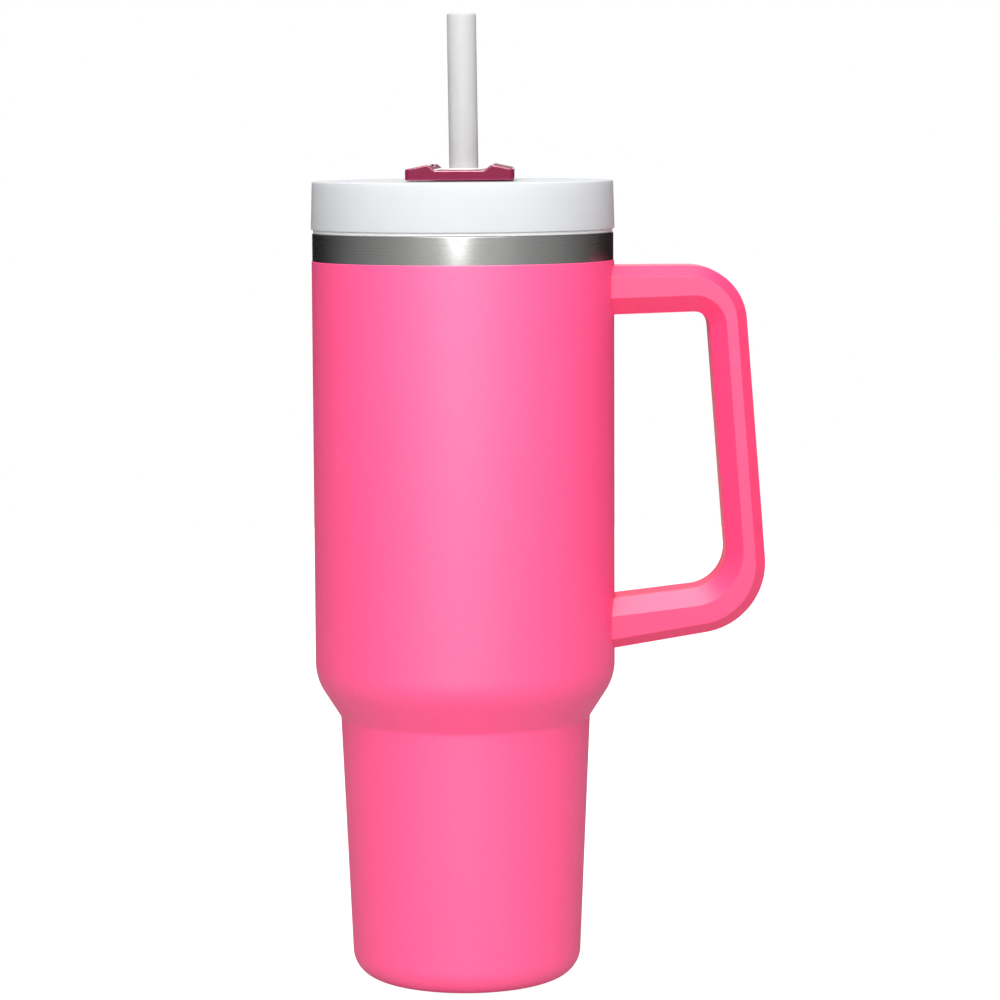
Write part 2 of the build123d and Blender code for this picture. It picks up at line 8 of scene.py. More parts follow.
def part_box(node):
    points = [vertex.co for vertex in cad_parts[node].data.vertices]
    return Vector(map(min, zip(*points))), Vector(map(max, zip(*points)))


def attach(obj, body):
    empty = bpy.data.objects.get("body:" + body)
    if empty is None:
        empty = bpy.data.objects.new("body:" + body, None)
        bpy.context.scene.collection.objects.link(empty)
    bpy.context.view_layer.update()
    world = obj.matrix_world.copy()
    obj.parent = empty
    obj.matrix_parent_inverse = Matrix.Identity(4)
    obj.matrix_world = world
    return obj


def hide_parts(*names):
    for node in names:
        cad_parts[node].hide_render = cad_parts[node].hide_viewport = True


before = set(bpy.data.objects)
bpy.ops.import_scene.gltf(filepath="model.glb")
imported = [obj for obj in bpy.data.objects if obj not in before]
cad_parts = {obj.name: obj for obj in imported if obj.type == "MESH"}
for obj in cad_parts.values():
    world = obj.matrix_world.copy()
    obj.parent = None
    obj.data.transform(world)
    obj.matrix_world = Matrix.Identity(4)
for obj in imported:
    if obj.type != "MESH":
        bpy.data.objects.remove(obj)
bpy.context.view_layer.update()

MM = 0.001

# ------------------------------------------------------------------ sizes from the frame
BODY_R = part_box("outer_shell")[1][1]
COAT_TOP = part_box("outer_shell")[1][2]
RIM_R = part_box("rim_band")[1][1]
RIM_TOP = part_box("rim_band")[1][2]
LID_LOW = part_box("lid_cap")[0][2]
LID_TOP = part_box("lid_cap")[1][2]
LID_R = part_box("lid_cap")[1][1]
STRAW_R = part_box("straw")[1][1]
STRAW_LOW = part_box("straw")[0][2]
STRAW_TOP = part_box("straw")[1][2]
COVER_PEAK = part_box("rotating_cover")[1][2]
HUB_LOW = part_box("rotating_cover")[0][2]
SEAL_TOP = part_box("cover_seal")[1][2]
SEAL_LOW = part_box("cover_seal")[0][2]
HANDLE_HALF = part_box("handle_frame")[1][1]

# sizes that the boxes don't give, in metres
WAIST_R = 40.6 * MM
WAIST_Z = 85.8 * MM
SHOULDER_Z = 98.5 * MM
FOOT_R = 36.9 * MM
FOOT_FILLET = 8.6 * MM
SHELL = 0.9 * MM
RECESS_R = 24.0 * MM
RECESS_Z = 3.2 * MM
LID_TOP_R = 48.4 * MM
RIM_FILLET = 0.4 * MM
DECK_Z = 262.8 * MM
STRAW_X = 0.5 * MM
STRAW_LEAN = radians(0.6)
LID_TURN = radians(-2.2)


# ------------------------------------------------------------------ mesh helpers
def rounded(points, radii, steps=10):
    """A 2D outline with its inner corners rounded. radii has one value for each inner point."""
    out = [Vector(points[0])]
    for before, corner, after, radius in zip(points, points[1:], points[2:], radii):
        before, corner, after = Vector(before), Vector(corner), Vector(after)
        if radius <= 0:
            out.append(corner)
            continue
        a = (before - corner).normalized()
        b = (after - corner).normalized()
        half = a.angle(b) / 2
        reach = radius / tan(half)
        centre = corner + (a + b).normalized() * (radius / sin(half))
        start = corner + a * reach - centre
        sweep = start.angle_signed(corner + b * reach - centre)
        for i in range(steps + 1):
            turn = Matrix.Rotation(-sweep * i / steps, 2)
            out.append(centre + turn @ start)
    out.append(Vector(points[-1]))
    return out


def shifted(points, distance):
    """An open 2D outline moved sideways, to the left of its direction of travel."""
    points = [Vector(p) for p in points]
    ways = [(b - a).normalized() for a, b in zip(points, points[1:])]
    normals = [Vector((-w.y, w.x)) for w in ways]
    out = [points[0] + normals[0] * distance]
    for corner, n0, n1 in zip(points[1:-1], normals, normals[1:]):
        out.append(corner + (n0 + n1) * (distance / (1 + n0.dot(n1))))
    out.append(points[-1] + normals[-1] * distance)
    return out


def new_object(name, mesh):
    piece = bpy.data.objects.new(name, mesh)
    bpy.context.scene.collection.objects.link(piece)
    return piece


def smooth(piece, angle=30):
    """Smooth shading with sharp edges only where the surface really turns."""
    mesh = piece.data
    mesh.shade_smooth()
    mesh.set_sharp_from_angle(angle=radians(angle))
    return piece


def lathe(name, outline, segments=192, angle=30):
    """A closed (radius, z) outline turned round the Z axis. Points on the axis become one."""
    bm = bmesh.new()
    rings = []
    for radius, z in outline:
        if radius < 1e-7:
            rings.append([bm.verts.new((0, 0, z))])
            continue
        turn = [2 * pi * i / segments for i in range(segments)]
        rings.append([bm.verts.new((radius * cos(t), radius * sin(t), z)) for t in turn])
    for low, high in zip(rings, rings[1:] + rings[:1]):
        if len(low) == 1 and len(high) == 1:
            continue
        for i in range(segments):
            j = (i + 1) % segments
            corners = [low[i % len(low)], low[j % len(low)], high[j % len(high)], high[i % len(high)]]
            bm.faces.new(list(dict.fromkeys(corners)))
    bmesh.ops.recalc_face_normals(bm, faces=bm.faces)
    mesh = bpy.data.meshes.new(name)
    bm.to_mesh(mesh)
    bm.free()
    return smooth(new_object(name, mesh), angle)


def prism(name, outline, low, high):
    """A closed 2D outline, a list of (x, y), given height along Z."""
    bm = bmesh.new()
    rings = [[bm.verts.new((x, y, z)) for x, y in outline] for z in (low, high)]
    count = len(outline)
    for i in range(count):
        j = (i + 1) % count
        bm.faces.new((rings[0][i], rings[0][j], rings[1][j], rings[1][i]))
    bm.faces.new(rings[0][::-1])
    bm.faces.new(rings[1])
    bmesh.ops.recalc_face_normals(bm, faces=bm.faces)
    mesh = bpy.data.meshes.new(name)
    bm.to_mesh(mesh)
    bm.free()
    return new_object(name, mesh)


def loft(name, sections, closed_ends=True):
    """A skin over a list of closed loops with the same number of points."""
    bm = bmesh.new()
    loops = [[bm.verts.new(p) for p in section] for section in sections]
    count = len(sections[0])
    for a, b in zip(loops, loops[1:]):
        for i in range(count):
            j = (i + 1) % count
            bm.faces.new((a[i], a[j], b[j], b[i]))
    if closed_ends:
        bm.faces.new(loops[0][::-1])
        bm.faces.new(loops[-1])
    bmesh.ops.recalc_face_normals(bm, faces=bm.faces)
    mesh = bpy.data.meshes.new(name)
    bm.to_mesh(mesh)
    bm.free()
    return new_object(name, mesh)


def bake_modifiers(piece):
    """Replaces a piece's mesh by what its modifiers make of it."""
    graph = bpy.context.evaluated_depsgraph_get()
    made = bpy.data.meshes.new_from_object(piece.evaluated_get(graph))
    piece.modifiers.clear()
    piece.data = made
    return piece


def combine(piece, operation, *others):
    """Cuts, joins or intersects the piece with the others, and deletes them."""
    for other in others:
        change = piece.modifiers.new("combine", "BOOLEAN")
        change.operation = operation
        change.solver = "EXACT"
        change.object = other
    bake_modifiers(piece)
    for other in others:
        bpy.data.objects.remove(other)
    return piece


def bevel(piece, width, segments=3, angle=30, edge_slot=-1, clamp=True):
    """Rounds the piece's real edges, and gives the new faces that material slot."""
    change = piece.modifiers.new("bevel", "BEVEL")
    change.material = edge_slot
    change.width = width
    change.segments = segments
    change.limit_method = "ANGLE"
    change.angle_limit = radians(angle)
    change.use_clamp_overlap = clamp
    bake_modifiers(piece)
    smooth(piece, 50)
    piece.modifiers.new("flat_faces", "WEIGHTED_NORMAL").keep_sharp = True
    return bake_modifiers(piece)


def stadium(length, width, corner, centre=(0, 0), steps=8):
    """A rounded rectangle as a closed list of points."""
    points = []
    for sx, sy, start in ((1, 1, 0), (-1, 1, 90), (-1, -1, 180), (1, -1, 270)):
        cx = centre[0] + sx * (length / 2 - corner)
        cy = centre[1] + sy * (width / 2 - corner)
        for i in range(steps + 1):
            t = radians(start + 90 * i / steps)
            points.append((cx + corner * cos(t), cy + corner * sin(t)))
    return points


def circle(radius, count=96):
    """A closed circle of points."""
    turn = [2 * pi * i / count for i in range(count)]
    return [(radius * cos(t), radius * sin(t)) for t in turn]


def turned(piece, angle):
    """Turns a piece's mesh about the Z axis."""
    piece.data.transform(Matrix.Rotation(angle, 4, "Z"))
    return piece


# ------------------------------------------------------------------ material helpers
class Shader:
    """A Principled material with short ways to add nodes."""

    def __init__(self, name):
        self.material = bpy.data.materials.new(name)
        self.material.use_nodes = True
        self.tree = self.material.node_tree
        self.main = self.tree.nodes["Principled BSDF"]

    def node(self, kind, **settings):
        made = self.tree.nodes.new(kind)
        for key, value in settings.items():
            if hasattr(made, key):
                setattr(made, key, value)
            else:
                made.inputs[key].default_value = value
        return made

    def link(self, source, target):
        self.tree.links.new(source, target)

    def fixed(self, **values):
        for key, value in values.items():
            self.main.inputs[key.replace("_", " ")].default_value = value
        return self

    def position(self):
        return self.node("ShaderNodeTexCoord").outputs["Object"]

    def noise(self, scale, detail=4.0, roughness=0.5, vector=None):
        made = self.node("ShaderNodeTexNoise")
        made.inputs["Scale"].default_value = scale
        made.inputs["Detail"].default_value = detail
        made.inputs["Roughness"].default_value = roughness
        self.link(vector or self.position(), made.inputs["Vector"])
        return made.outputs["Fac"]

    def spread(self, value, low, high, from_low=0.3, from_high=0.7):
        made = self.node("ShaderNodeMapRange")
        made.inputs["From Min"].default_value = from_low
        made.inputs["From Max"].default_value = from_high
        made.inputs["To Min"].default_value = low
        made.inputs["To Max"].default_value = high
        self.link(value, made.inputs["Value"])
        return made.outputs["Result"]

    def between(self, value, low, high):
        made = self.node("ShaderNodeMix")
        made.data_type = "RGBA"
        made.inputs["A"].default_value = (*low, 1)
        made.inputs["B"].default_value = (*high, 1)
        self.link(value, made.inputs["Factor"])
        return made.outputs["Result"]

    def bump(self, height, depth, strength=1.0, below=None):
        made = self.node("ShaderNodeBump")
        made.inputs["Strength"].default_value = strength
        made.inputs["Distance"].default_value = depth
        self.link(height, made.inputs["Height"])
        if below:
            self.link(below, made.inputs["Normal"])
        self.link(made.outputs["Normal"], self.main.inputs["Normal"])
        return made.outputs["Normal"]


PINK = (0.93, 0.044, 0.212)
PINK_WORN = (0.94, 0.050, 0.222)
HANDLE_PINK = (0.86, 0.036, 0.150)
HANDLE_PINK_WORN = (0.88, 0.041, 0.160)
GRIP_PINK = (0.80, 0.030, 0.130)


def powder_coat():
    shader = Shader("powder_coat")
    shader.fixed(IOR=1.7, Specular_IOR_Level=0.85)
    tint = shader.spread(shader.noise(9.0, 3.0), 0.0, 1.0)
    shader.link(shader.between(tint, PINK, PINK_WORN), shader.main.inputs["Base Color"])
    grain = shader.noise(2600.0, 2.0, 0.6)
    peel = shader.noise(620.0, 2.0, 0.5)
    shader.link(shader.spread(peel, 0.52, 0.60), shader.main.inputs["Roughness"])
    below = shader.bump(peel, 0.00005, 0.6)
    shader.bump(grain, 0.00003, 0.7, below)
    return shader.material


def handle_plastic():
    shader = Shader("handle_plastic")
    shader.fixed(Specular_IOR_Level=0.8)
    tint = shader.spread(shader.noise(14.0, 3.0), 0.0, 1.0)
    shader.link(
        shader.between(tint, HANDLE_PINK, HANDLE_PINK_WORN), shader.main.inputs["Base Color"]
    )
    grain = shader.noise(1900.0, 2.0, 0.55)
    shader.link(shader.spread(grain, 0.36, 0.46), shader.main.inputs["Roughness"])
    shader.bump(grain, 0.00003, 0.6)
    return shader.material


def grip_rubber():
    shader = Shader("grip_rubber")
    shader.fixed(Specular_IOR_Level=0.35, Sheen_Weight=0.15, Sheen_Roughness=0.4)
    tint = shader.spread(shader.noise(20.0, 3.0), 0.0, 1.0)
    shader.link(
        shader.between(tint, GRIP_PINK, HANDLE_PINK), shader.main.inputs["Base Color"]
    )
    grain = shader.noise(3200.0, 2.0, 0.6)
    shader.link(shader.spread(grain, 0.58, 0.70), shader.main.inputs["Roughness"])
    shader.bump(grain, 0.00004, 0.7)
    return shader.material


CLOUD_SHADE = 0.94


def brushed_steel(name, base, rough_low, rough_high, lines=9000.0):
    """Steel brushed round the Z axis: long fine lines that follow the turn."""
    shader = Shader(name)
    shader.fixed(Metallic=1.0, Anisotropic=0.25)
    split = shader.node("ShaderNodeSeparateXYZ")
    shader.link(shader.position(), split.inputs["Vector"])
    round_it = shader.node("ShaderNodeMath")
    round_it.operation = "ARCTAN2"
    shader.link(split.outputs["Y"], round_it.inputs[0])
    shader.link(split.outputs["X"], round_it.inputs[1])
    height = shader.node("ShaderNodeMath")
    height.operation = "MULTIPLY"
    height.inputs[1].default_value = lines
    shader.link(split.outputs["Z"], height.inputs[0])
    join = shader.node("ShaderNodeCombineXYZ")
    shader.link(round_it.outputs[0], join.inputs["X"])
    shader.link(height.outputs[0], join.inputs["Z"])
    streak = shader.noise(1.6, 3.0, 0.5, join.outputs["Vector"])
    cloud = shader.noise(60.0, 3.0, 0.5)
    shader.link(shader.spread(streak, rough_low, rough_high), shader.main.inputs["Roughness"])
    dark = tuple(c * CLOUD_SHADE for c in base)
    shader.link(
        shader.between(shader.spread(cloud, 0.0, 1.0), dark, base),
        shader.main.inputs["Base Color"],
    )
    shader.bump(streak, 0.000004, 0.4)
    shader.fixed(Anisotropic_Rotation=0.25)
    tangent = shader.node("ShaderNodeTangent")
    tangent.direction_type = "RADIAL"
    tangent.axis = "Z"
    shader.link(tangent.outputs["Tangent"], shader.main.inputs["Tangent"])
    return shader.material


def moulded(name, low, high, rough_low, rough_high, scale=900.0, depth=0.00003, **fixed):
    """Moulded plastic or silicone: slight colour drift and a fine tool texture."""
    shader = Shader(name)
    shader.fixed(**fixed)
    tint = shader.spread(shader.noise(30.0, 3.0), 0.0, 1.0)
    shader.link(shader.between(tint, low, high), shader.main.inputs["Base Color"])
    grain = shader.noise(scale, 3.0, 0.5)
    shader.link(shader.spread(grain, rough_low, rough_high), shader.main.inputs["Roughness"])
    shader.bump(grain, depth, 0.5)
    return shader.material


COAT = powder_coat()
HANDLE = handle_plastic()
GRIP = grip_rubber()
STEEL = brushed_steel("brushed_steel", (0.36, 0.358, 0.352), 0.23, 0.31)
BRIGHT_STEEL = brushed_steel("bright_steel", (0.72, 0.71, 0.70), 0.12, 0.24)
FOIL = brushed_steel("foil", (0.86, 0.86, 0.87), 0.10, 0.22, 900.0)
LID_WHITE = moulded(
    "lid_white", (0.525, 0.537, 0.556), (0.545, 0.557, 0.576), 0.46, 0.56,
    Specular_IOR_Level=0.12, Subsurface_Weight=0.3, Subsurface_Scale=0.006,
    Subsurface_Radius=(1, 1, 1),
)
PLUG_WHITE = moulded("plug_white", (0.66, 0.68, 0.71), (0.70, 0.72, 0.74), 0.40, 0.52)
SILICONE = moulded(
    "silicone", (0.86, 0.865, 0.87), (0.90, 0.905, 0.91), 0.42, 0.55,
    Subsurface_Weight=0.4, Subsurface_Scale=0.003, Subsurface_Radius=(1, 1, 1),
)
BURGUNDY = moulded(
    "burgundy", (0.165, 0.005, 0.036), (0.182, 0.007, 0.042), 0.44, 0.54,
    scale=500.0, depth=0.00001, Specular_IOR_Level=0.17,
)
# The cover's bevel faces: the same burgundy plastic painted lighter as a painted highlight along the
# edges, with a real glossier coat on top.
BURGUNDY_PAINTED_HIGHLIGHT = moulded(
    "burgundy_painted_highlight", (0.26, 0.016, 0.062), (0.29, 0.020, 0.070), 0.14, 0.20,
    scale=500.0, depth=0.00001, Specular_IOR_Level=0.6, Coat_Weight=0.5, Coat_Roughness=0.12,
)
STRAW = moulded(
    "straw", (0.465, 0.467, 0.474), (0.490, 0.492, 0.499), 0.40, 0.50,
    scale=700.0, depth=0.00002, Subsurface_Weight=0.6, Subsurface_Scale=0.005,
    Subsurface_Radius=(1, 1, 1), Specular_IOR_Level=0.3,
)
GETTER = moulded("getter", (0.10, 0.10, 0.11), (0.16, 0.16, 0.17), 0.55, 0.75, 3000.0, Metallic=0.6)
BEAD = moulded("seal_bead", (0.05, 0.045, 0.04), (0.09, 0.08, 0.07), 0.15, 0.30, 800.0)

NODE_MATERIALS = {
    "outer_shell": COAT,
    "rim_band": STEEL,
    "inner_liner": STEEL,
    "mouth_thread": STEEL,
    "liner_foil": FOIL,
    "outer_base": STEEL,
    "vacuum_seal": BEAD,
    "base_cover": STEEL,
    "vacuum_getter": GETTER,
    "getter_clip": BRIGHT_STEEL,
    "handle_frame": HANDLE,
    "handle_grip": GRIP,
    "handle_bracket_upper": STEEL,
    "handle_bracket_lower": STEEL,
    "handle_screws": BRIGHT_STEEL,
    "lid_cap": LID_WHITE,
    "lid_plug": PLUG_WHITE,
    "drink_core": PLUG_WHITE,
    "lid_gasket": SILICONE,
    "rotating_cover": BURGUNDY,
    "cover_seal": SILICONE,
    "cover_retainer": PLUG_WHITE,
    "hub_oring": SILICONE,
    "straw_grommet": SILICONE,
    "straw": STRAW,
}


def dress(piece, material):
    piece.data.materials.clear()
    piece.data.materials.append(material)


def stand_for(piece, node, body, material):
    """A finished Blender piece takes a CAD node's place."""
    dress(piece, material)
    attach(piece, body)
    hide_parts(node)


for node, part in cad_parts.items():
    for place in part.material_slots:
        place.material = NODE_MATERIALS[node]


# ------------------------------------------------------------------ tumbler body
def make_shell():
    outline = [
        (BODY_R - 0.35 * MM, COAT_TOP),
        (BODY_R, COAT_TOP - 0.35 * MM),
        (BODY_R, SHOULDER_Z),
        (WAIST_R, WAIST_Z),
        (FOOT_R, 0),
        (RECESS_R, 0),
        (RECESS_R, RECESS_Z),
    ]
    wall = [(BODY_R, COAT_TOP), (BODY_R, SHOULDER_Z), (WAIST_R, WAIST_Z), (FOOT_R, 0)]
    wall += [(RECESS_R, 0), (RECESS_R, RECESS_Z)]
    inside = shifted(wall, -SHELL)
    outer = rounded(outline, [0.3 * MM, 17 * MM, 3 * MM, FOOT_FILLET, 1 * MM], 14)
    inner = rounded(inside, [16.1 * MM, 3.9 * MM, FOOT_FILLET - SHELL, 1.9 * MM], 14)
    piece = lathe("coated_shell", outer + inner[::-1], 256)
    stand_for(piece, "outer_shell", "tumbler", COAT)


def make_rim():
    inner_r = BODY_R - SHELL
    mouth_r = BODY_R - 3.1 * MM
    outline = rounded(
        [
            (inner_r, COAT_TOP - 1.5 * MM),
            (RIM_R, COAT_TOP - 1.5 * MM),
            (RIM_R, RIM_TOP),
            (mouth_r, RIM_TOP),
            (mouth_r, RIM_TOP - 0.9 * MM),
            (inner_r, RIM_TOP - 1.8 * MM),
            (inner_r, COAT_TOP - 1.5 * MM),
        ],
        [0, RIM_FILLET, 0, 0, 0],
        8,
    )
    piece = lathe("steel_rim", outline[:-1], 256)
    stand_for(piece, "rim_band", "tumbler", STEEL)


# ------------------------------------------------------------------ handle
HANDLE_ROOT = 40 * MM
HANDLE_OUTSIDE = [
    (HANDLE_ROOT, 231.8 * MM),
    (89.6 * MM, 231.8 * MM),
    (98.6 * MM, 116.8 * MM),
    (HANDLE_ROOT, 107.0 * MM),
]
HANDLE_INSIDE = [
    (HANDLE_ROOT, 216.0 * MM),
    (78.6 * MM, 217.2 * MM),
    (85.3 * MM, 129.0 * MM),
    (HANDLE_ROOT, 123.6 * MM),
]
OUTSIDE_FILLETS = (18.4 * MM, 22.8 * MM)
INSIDE_FILLETS = (5.0 * MM, 12.5 * MM)
INNER_FLAT = 7.5 * MM
INNER_FACET = 5.35 * MM
OUTER_FACET = 3.3 * MM
OUTER_FLAT = HANDLE_HALF - 3.6 * MM
GRIP_DEPTH = 1.8 * MM
GRIP_HALF = 5.6 * MM
CORNER_STEPS = 28
STRAIGHT_STEPS = 10


def handle_line(corners, fillets, distance):
    """The points of one of the handle's long edges, evenly matched from edge to edge."""
    radii = [radius + distance for radius in fillets]
    line = rounded(shifted(corners, distance), radii, CORNER_STEPS)
    points = []
    for a, b, steps in (
        (line[0], line[1], STRAIGHT_STEPS),
        (line[1], None, 0),
        (line[CORNER_STEPS + 1], line[CORNER_STEPS + 2], STRAIGHT_STEPS),
    ):
        if b is None:
            points += line[1 : CORNER_STEPS + 1]
            continue
        points += [a.lerp(b, i / steps) for i in range(steps)]
    points += line[CORNER_STEPS + 2 : 2 * CORNER_STEPS + 2]
    end = line[2 * CORNER_STEPS + 2]
    points += [end.lerp(line[-1], i / STRAIGHT_STEPS) for i in range(STRAIGHT_STEPS + 1)]
    return points


def to_body(point, y, radius):
    """Keeps a handle point from going deeper into the body than a cylinder of that radius."""
    return Vector((max(point.x, sqrt(radius**2 - y**2)), y, point.y))


def make_handle():
    outer = handle_line(HANDLE_OUTSIDE, OUTSIDE_FILLETS, 0)
    outer_facet = handle_line(HANDLE_OUTSIDE, OUTSIDE_FILLETS, -OUTER_FACET)
    inner = handle_line(HANDLE_INSIDE, INSIDE_FILLETS, 0)
    inner_facet = handle_line(HANDLE_INSIDE, INSIDE_FILLETS, INNER_FACET)
    groove = handle_line(HANDLE_INSIDE, INSIDE_FILLETS, GRIP_DEPTH)
    seat = BODY_R - 0.6 * MM
    gap = 0.12 * MM
    sections = []
    for o, of, i, jf, g in zip(outer, outer_facet, inner, inner_facet, groove):
        half = [
            (o, OUTER_FLAT),
            (of, HANDLE_HALF),
            (jf, HANDLE_HALF),
            (i, INNER_FLAT),
            (i, GRIP_HALF + gap),
            (g, GRIP_HALF + gap),
        ]
        loop = half + [(p, -y) for p, y in reversed(half)]
        sections.append([to_body(p, y, seat) for p, y in loop])
    piece = loft("handle", sections)
    bmesh_cleanup(piece)
    bevel(piece, 0.8 * MM, 3, 25)
    stand_for(piece, "handle_frame", "tumbler", HANDLE)

    sections = []
    for i, g in zip(inner, groove):
        half = [(i, GRIP_HALF), (g, GRIP_HALF)]
        loop = half + [(p, -y) for p, y in reversed(half)]
        sections.append([to_body(p, y, BODY_R + 0.3 * MM) for p, y in loop])
    piece = loft("grip_strip", sections)
    bmesh_cleanup(piece)
    bevel(piece, 0.35 * MM, 3, 40)
    stand_for(piece, "handle_grip", "tumbler", GRIP)


def bmesh_cleanup(piece):
    """Merges the sections that fell together against the body."""
    bm = bmesh.new()
    bm.from_mesh(piece.data)
    bmesh.ops.remove_doubles(bm, verts=bm.verts, dist=1e-6)
    bmesh.ops.dissolve_degenerate(bm, dist=1e-6, edges=bm.edges)
    bmesh.ops.recalc_face_normals(bm, faces=bm.faces)
    bm.to_mesh(piece.data)
    bm.free()


# ------------------------------------------------------------------ lid, cover and straw
HUB_BORE = 8.1 * MM
DRINK_CENTRE = 16 * MM
PLATE = 2.6 * MM
GASKET_INNER = 44.6 * MM
GASKET_OUTER = RIM_R - 0.3 * MM
SKIRT = 2.4 * MM


def make_lid():
    under = LID_TOP - PLATE
    cavity = LID_R - SKIRT
    outline = rounded(
        [
            (0, LID_TOP),
            (LID_TOP_R, LID_TOP),
            (LID_R, LID_LOW),
            (cavity, LID_LOW),
            (cavity, under),
            (0, under),
        ],
        [0.35 * MM, 0.28 * MM, 0.3 * MM, 1.0 * MM],
        8,
    )
    piece = lathe("lid", outline, 256)
    drink = stadium(16 * MM, 9 * MM, 4 * MM, (0, DRINK_CENTRE))
    combine(
        piece,
        "DIFFERENCE",
        prism("drink_cutter", drink, under - MM, LID_TOP + MM),
        prism("hub_cutter", circle(HUB_BORE), under - MM, LID_TOP + MM),
    )
    turned(piece, LID_TURN)
    smooth(piece, 30)
    stand_for(piece, "lid_cap", "lid", LID_WHITE)


COVER_LOW = 259.6 * MM
COVER_EDGE = 263.15 * MM
COVER_FRONT = 17.2 * MM
COVER_BACK = 16.2 * MM
COVER_REACH = 25 * MM
CHANNEL_TOP = 10.1 * MM
CHANNEL_FLOOR = 7.8 * MM
HUB_R = 8.0 * MM
HUB_INNER = 6.1 * MM
GROMMET_R = 7.0 * MM
GROMMET_LOW = DECK_Z - 2.3 * MM
NOTCH_DEPTH = 8.0 * MM
NOTCH_WIDTH = 17 * MM
RETAINER_Z = 227.3 * MM
RETAINER_THICK = 1.8 * MM
RETAINER_GROOVE = 0.7 * MM
ORING_Z = 245.0 * MM
ORING_HALF = 0.95 * MM
ORING_GROOVE = 1.45 * MM


def cover_profile(y, width_share):
    """The cover's end view at that y: two sloped ridges with a channel between them."""
    right = [
        (COVER_FRONT, COVER_LOW),
        (COVER_FRONT, COVER_EDGE),
        (CHANNEL_TOP, COVER_PEAK),
        (CHANNEL_FLOOR, DECK_Z),
    ]
    right = [(x * width_share, z) for x, z in right]
    left = [(-x, z) for x, z in reversed(right)]
    return [(x, y, z) for x, z in right + left]


def make_cover_hub():
    """The hollow hub under the cover, with its grooves for the O-ring and the snap ring."""
    outline = [
        (HUB_INNER, HUB_LOW),
        (HUB_R - 0.4 * MM, HUB_LOW),
        (HUB_R, HUB_LOW + 0.4 * MM),
        (HUB_R, RETAINER_Z),
        (HUB_R - RETAINER_GROOVE, RETAINER_Z),
        (HUB_R - RETAINER_GROOVE, RETAINER_Z + RETAINER_THICK),
        (HUB_R, RETAINER_Z + RETAINER_THICK),
        (HUB_R, ORING_Z - ORING_HALF),
        (HUB_R - ORING_GROOVE, ORING_Z - ORING_HALF),
        (HUB_R - ORING_GROOVE, ORING_Z + ORING_HALF),
        (HUB_R, ORING_Z + ORING_HALF),
        (HUB_R, COVER_LOW + 0.8 * MM),
        (HUB_INNER, COVER_LOW + 0.8 * MM),
    ]
    return lathe("cover_hub", outline, 96)


def make_cover():
    front = cover_profile(-COVER_REACH, 1)
    back = cover_profile(COVER_REACH, COVER_BACK / COVER_FRONT)
    bar = loft("cover", [front, back])
    ease = 0.02 * MM
    corners = [
        (0, -COVER_REACH),
        (COVER_FRONT + ease, -COVER_REACH),
        (COVER_BACK + ease, COVER_REACH),
        (-COVER_BACK - ease, COVER_REACH),
        (-COVER_FRONT - ease, -COVER_REACH),
        (0, -COVER_REACH),
    ]
    plan = rounded(corners, [1.5 * MM] * 4, 6)[:-1]
    combine(bar, "INTERSECT", prism("cover_plan", plan, COVER_LOW - MM, COVER_PEAK + MM))
    notch = stadium(2 * NOTCH_DEPTH, NOTCH_WIDTH, 3 * MM, (-COVER_FRONT, 0))
    seal = stadium(20 * MM, 13 * MM, 4 * MM, (0, DRINK_CENTRE))
    combine(
        bar,
        "DIFFERENCE",
        prism("cover_notch", notch, COVER_LOW - MM, COVER_PEAK + MM),
        prism("cover_bore", circle(HUB_INNER), COVER_LOW - MM, COVER_PEAK + MM),
        prism("cover_seat", circle(GROMMET_R), GROMMET_LOW, COVER_PEAK + MM),
        prism("cover_pad", seal, SEAL_LOW, SEAL_TOP),
    )
    bar.data.materials.append(BURGUNDY)
    # Slot 1, the lighter burgundy, goes on the bevel faces as a painted highlight.
    bar.data.materials.append(BURGUNDY_PAINTED_HIGHLIGHT)
    bevel(bar, 0.42 * MM, 4, 30, 1, clamp=False)
    hub = make_cover_hub()
    with bpy.context.temp_override(
        active_object=bar, selected_objects=[bar, hub], selected_editable_objects=[bar, hub]
    ):
        bpy.ops.object.join()
    turned(bar, LID_TURN)
    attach(bar, "cover")
    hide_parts("rotating_cover")


def make_gasket():
    """The silicone ring that shows as a pale line between the lid and the steel."""
    low = RIM_TOP + 0.03 * MM
    top = LID_LOW - 0.03 * MM
    outline = rounded(
        [
            (GASKET_INNER, (low + top) / 2),
            (GASKET_INNER, low),
            (GASKET_OUTER, low),
            (GASKET_OUTER, top),
            (GASKET_INNER, top),
            (GASKET_INNER, (low + top) / 2),
        ],
        [0.2 * MM] * 4,
        6,
    )
    piece = lathe("gasket_ring", outline[:-1], 256)
    stand_for(piece, "lid_gasket", "gasket", SILICONE)


def make_straw():
    wall = 0.75 * MM
    low = STRAW_LOW - DECK_Z + 0.05 * MM
    top = STRAW_TOP - DECK_Z - 0.05 * MM
    outline = rounded(
        [
            (STRAW_R - wall / 2, low),
            (STRAW_R, low),
            (STRAW_R, top),
            (STRAW_R - wall, top),
            (STRAW_R - wall, low),
            (STRAW_R - wall / 2, low),
        ],
        [0.3 * MM, 0.3 * MM, 0.3 * MM, 0.3 * MM],
        5,
    )
    piece = lathe("drinking_straw", outline[:-1], 64)
    lean = Matrix.Rotation(-STRAW_LEAN, 4, "Y")
    piece.data.transform(Matrix.Translation((STRAW_X, 0, DECK_Z)) @ lean)
    stand_for(piece, "straw", "straw", STRAW)


make_shell()
make_rim()
make_handle()
make_lid()
make_cover()
make_gasket()
make_straw()


# ------------------------------------------------------------------ stage, lights, camera
FLOOR_R = 1.3
FLOOR_PAPER = (0.45, 0.45, 0.45, 1)
FLOOR_GLOW = 0.06
FLOOR_SEEN = 0.95


